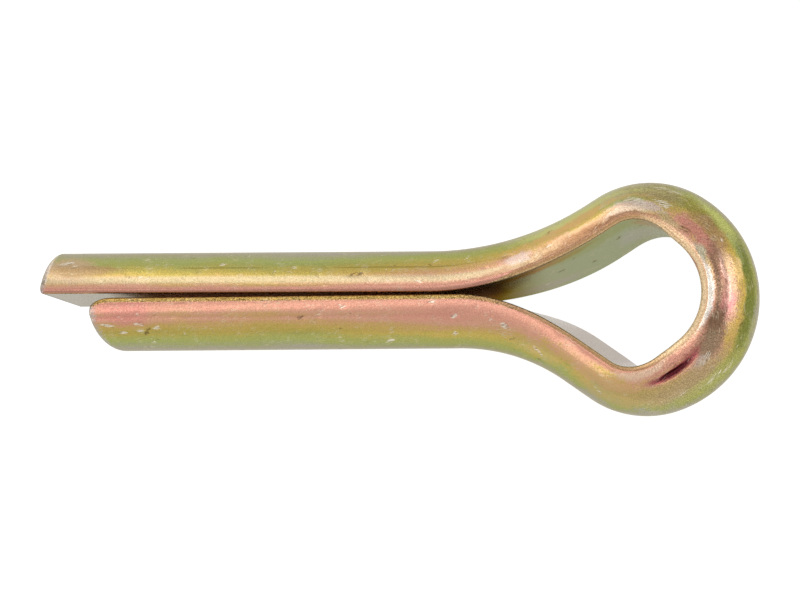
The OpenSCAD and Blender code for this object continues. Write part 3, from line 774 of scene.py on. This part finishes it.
    workOut(tree, value, (
        # the crease and a halo round it are painted dark maroon: painted shade in the fold
        ("haloed", "STEP", "creaseShare", 0.02, 0.35, 0.0, 0.8),
        ("withHalo", "MIX", "haloed", "stained", plating["creaseHaloShadeColour"]),
        ("creaseRough", "MULTIPLY_ADD", "speck", 0.5, "creaseShare"),
        ("creased", "STEP", "creaseRough", 0.28, 0.72, 0.0, 0.92),
        ("withCrease", "MIX", "creased", "withHalo", plating["creaseShadeColour"]),

        # wear on rims, in flecks, pits and rubs, each with its border broken by grain or scratches
        ("rimRough", "MULTIPLY_ADD", "speck", 1.6, "endRim"),
        ("rimWorn", "STEP", "rimRough", 0.35, 0.9, 0.0, 0.7),
        ("withRim", "MIX", "rimWorn", "withCrease", plating["rimColour"]),
        ("flecked", "MULTIPLY_ADD", "scratchLine", 1.2, "fleck"),
        ("fleckWorn", "STEP", "flecked", 0.68, 0.82, 0.0, 0.5),
        ("withFlecks", "MIX", "fleckWorn", "withRim", plating["fleckColour"]),
        ("lineUp", "MULTIPLY_ADD", "scratchLine", 5.0, 1.0),
        ("lineDown", "MULTIPLY_ADD", "scratchLine", -5.0, 0.3),
        ("markPale", "MAXIMUM", "struck", 0.0),
        ("markDark", "MINIMUM", "struck", 0.0),
        ("darkTurned", "MULTIPLY", "markDark", -1.0),
        ("darkMarks", "MULTIPLY", "darkTurned", "lineUp"),
        ("darkLines", "MULTIPLY", "markPale", "lineDown"),
        ("darkRough", "MAXIMUM", "darkLines", "darkMarks"),
        ("darkWorn", "STEP", "darkRough", 0.25, 0.7, 0.0, 0.7),
        ("withPits", "MIX", "darkWorn", "withFlecks", plating["darkColour"]),
        ("paleRough", "MULTIPLY", "markPale", "lineUp"),
        ("paleWorn", "STEP", "paleRough", 0.3, 0.75, 0.0, 0.8),
        ("worn", "MIX", "paleWorn", "withPits", plating["paleColour"]),

        # the edges and the trough are sandy: each grain is a little lighter or darker. The long leg's
        # lower edge also takes its painted shade here.
        ("smooth", "MULTIPLY_ADD", "onFlat", -0.8, 1.0),
        ("smoother", "MULTIPLY_ADD", "inEye", -0.65, "smooth"),
        ("sandyEdge", "MULTIPLY", "sandy", "smoother"),
        ("sandyLoop", "MULTIPLY", "inCrown", 0.55),
        ("sandyTop", "MAXIMUM", "troughShare", "sandyLoop"),
        ("sandier", "MAXIMUM", "sandyEdge", "sandyTop"),
        ("sandLight", "MULTIPLY", "sandSpeck", "sandier"),
        ("sandMost", "MULTIPLY_ADD", "inEye", -0.8, 3.6),
        ("legShade", "MULTIPLY_ADD", "underShade", "longLeg", 1.0),
        ("sandAndPaintedShade", "MULTIPLY_ADD", "sandLight", "sandMost", "legShade"),

        # between the legs the flats reflect grazing light with a browner tint: painted shade in the gap
        # where the legs part and lie together
        ("notTip", "SUBTRACT", 1.0, "inTip"),
        ("flatShare", "MULTIPLY", "notTip", "onFlat"),
        ("neckShare", "MULTIPLY", "flatShare", "inNeck"),
        ("gapShare", "MULTIPLY", "flatShare", "inGap"),
        ("flatTint", "MIX", "flatShare", plating["tintAtEdge"], plating["tintOnFlat"]),
        ("neckTint", "MIX", "neckShare", "flatTint", plating["shadeTintInNeck"]),
        ("tint", "MIX", "gapShare", "neckTint", plating["shadeTintInGap"]),

        # grain and streaks stand up a little, and the sandy edges most of all
        ("grainRise", "MULTIPLY_ADD", "sandier", 0.8, 0.5),
        ("grainHeight", "MULTIPLY", "grain", "grainRise"),
        ("height", "MULTIPLY_ADD", "streak", 0.5, "grainHeight")))
    colour = addNode(tree, "ShaderNodeVectorMath", {0: value["worn"], "Scale": value["sandAndPaintedShade"]},
                     operation="SCALE").outputs[0]
    value["grainRough"] = addNode(tree, "ShaderNodeMapRange",
                                  {0: value["grain"], 1: 0.3, 2: 0.7, 3: plating["roughness"] - 0.05,
                                   4: plating["roughness"] + 0.08}).outputs[0]
    workOut(tree, value, (
        ("edgeRough", "MULTIPLY_ADD", "sandyEdge", plating["edgeRoughness"], "grainRough"),
        ("crest", "MULTIPLY", "underCrest", "atCrown"),
        ("roughness", "MULTIPLY_ADD", "crest", plating["crestRoughness"], "edgeRough")))
    bump = addNode(tree, "ShaderNodeBump", {"Strength": 0.5, "Distance": plating["grainHeight"] * mm,
                                            "Height": value["height"]}).outputs[0]
    for socket, source in (("Base Color", colour), ("Specular Tint", value["tint"]),
                           ("Roughness", value["roughness"]), ("Normal", bump)):
        tree.links.new(source, shader.inputs[socket])
    print("plating mixed:", len(tree.nodes), "nodes,", len(plating["stainsAndPaintedLight"]), "stainsAndPaintedLight")
    return material


pin = sweptWire(platingMaterial())
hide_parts("split_pin")
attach(pin, "root")
print("pin dressed, in place of the plain one")


studio = {
    "floorSize": 6.0,           # metres
    "floorColour": "#B4B4B2",
    "floorRoughness": 0.9,
    "floorLift": 0.88,          # its own light, for the camera and for reflections alone
    "skyLevel": 0.55,
    "lamps": {                  # where from, its long way, metres off, long and wide, its brightness
        "far": ((-0.32, 0.75, 0.57), (-0.30, 0.27, -0.56), 0.55, (0.46, 0.12), 1.3),
        "low": ((-0.48, 0.85, 0.20), (-0.8, -0.4, -0.1), 0.55, (0.3, 0.16), 0.3),
        "near": ((-0.34, -0.41, 0.85), (-0.65, -0.59, -0.52), 0.55, (0.60, 0.085), 1.35),
        "top": ((0.04, 0.15, 0.98), (1.0, 0.0, 0.0), 0.55, (0.15, 0.10), 1.9),
        "right": ((0.79, 0.15, 0.60), (0.0, 1.0, 0.0), 0.55, (0.34, 0.28), 1.3),
    },
}


def raysSeen(tree):  # 1 for the camera's rays, also by way of a reflection, and 0 for scattered light
    ray = addNode(tree, "ShaderNodeLightPath").outputs
    value = {name: ray[f"Is {name} Ray"] for name in ("Camera", "Glossy", "Transmission")}
    workOut(tree, value, (
        ("either", "MAXIMUM", "Camera", "Glossy"),
        ("seen", "MAXIMUM", "either", "Transmission")))
    return value["seen"]


def buildStudio():
    bpy.ops.mesh.primitive_plane_add(size=studio["floorSize"])
    floor = bpy.context.object
    floor.name = "floor"
    floor.data.transform(Matrix.Translation((0, 0, nodeLow.z)))
    material = bpy.data.materials.new("paleFloor")
    material.use_nodes = True
    tree = material.node_tree
    shader = tree.nodes["Principled BSDF"]
    shader.inputs["Base Color"].default_value = srgb(studio["floorColour"])
    shader.inputs["Roughness"].default_value = studio["floorRoughness"]
    shader.inputs["Specular IOR Level"].default_value = 0.0
    lift = addNode(tree, "ShaderNodeMath", {0: raysSeen(tree), 1: studio["floorLift"]},
                   operation="MULTIPLY").outputs[0]
    shader.inputs["Emission Color"].default_value = (1, 1, 1, 1)
    tree.links.new(lift, shader.inputs["Emission Strength"])
    floor.data.materials.append(material)

    world = bpy.data.worlds.new("paleSky")
    bpy.context.scene.world = world
    world.use_nodes = True
    tree = world.node_tree
    level = addNode(tree, "ShaderNodeMapRange", {0: raysSeen(tree), 3: studio["skyLevel"]}).outputs[0]
    sky = tree.nodes["Background"]
    sky.inputs[0].default_value = (1, 1, 1, 1)
    tree.links.new(level, sky.inputs[1])

    for name, (direction, longWay, distance, size, level) in studio["lamps"].items():
        data = bpy.data.lights.new(name, "AREA")
        data.shape, data.size, data.size_y = "RECTANGLE", size[0], size[1]
        data.energy = level * math.pi * size[0] * size[1]
        lamp = linked(name, data)
        aim = Vector(direction).normalized()
        across = aim.cross(Vector(longWay)).normalized()
        turned = Matrix((across.cross(aim), across, aim)).transposed().to_4x4()
        lamp.matrix_world = Matrix.Translation(aim * distance) @ turned


view = {
    "distance": 300.0,          # millimetres from the aim
    "aim": (-7.2208, 0.0139, 0.0),
    "turn": 7.663,              # degrees towards the eye's end, from straight above
    "tilt": 8.525,              # degrees towards the short leg
    "roll": -0.737,             # degrees round the line of sight
    "pixelsPerMm": 8.2596,      # at the aim
    "frameWidth": 800,          # pixels
    "sensorWidth": 36.0,        # millimetres
    "nearest": 0.01,            # metres: nothing closer to it is drawn
}


def placeCamera():
    turn, tilt, roll = (math.radians(view[key]) for key in ("turn", "tilt", "roll"))
    away = Vector((math.sin(turn), -math.sin(tilt), 0))
    away.z = math.sqrt(1 - away.length_squared)
    right = Vector((0, 1, 0)).cross(away).normalized()
    up = away.cross(right)
    across = right * math.cos(roll) - up * math.sin(roll)
    upward = right * math.sin(roll) + up * math.cos(roll)
    data = bpy.data.cameras.new("camera")
    data.sensor_width = view["sensorWidth"]
    data.lens = view["pixelsPerMm"] * view["distance"] / view["frameWidth"] * view["sensorWidth"]
    data.clip_start = view["nearest"]
    camera = linked("camera", data)
    turned = Matrix((across, upward, away)).transposed().to_4x4()
    place = (Vector(view["aim"]) + away * view["distance"]) * mm
    camera.matrix_world = Matrix.Translation(place) @ turned
    bpy.context.scene.camera = camera


buildStudio()
print("floor, sky and", len(studio["lamps"]), "lamps placed")
placeCamera()
bpy.context.scene.view_settings.view_transform = "Standard"
print("camera placed")
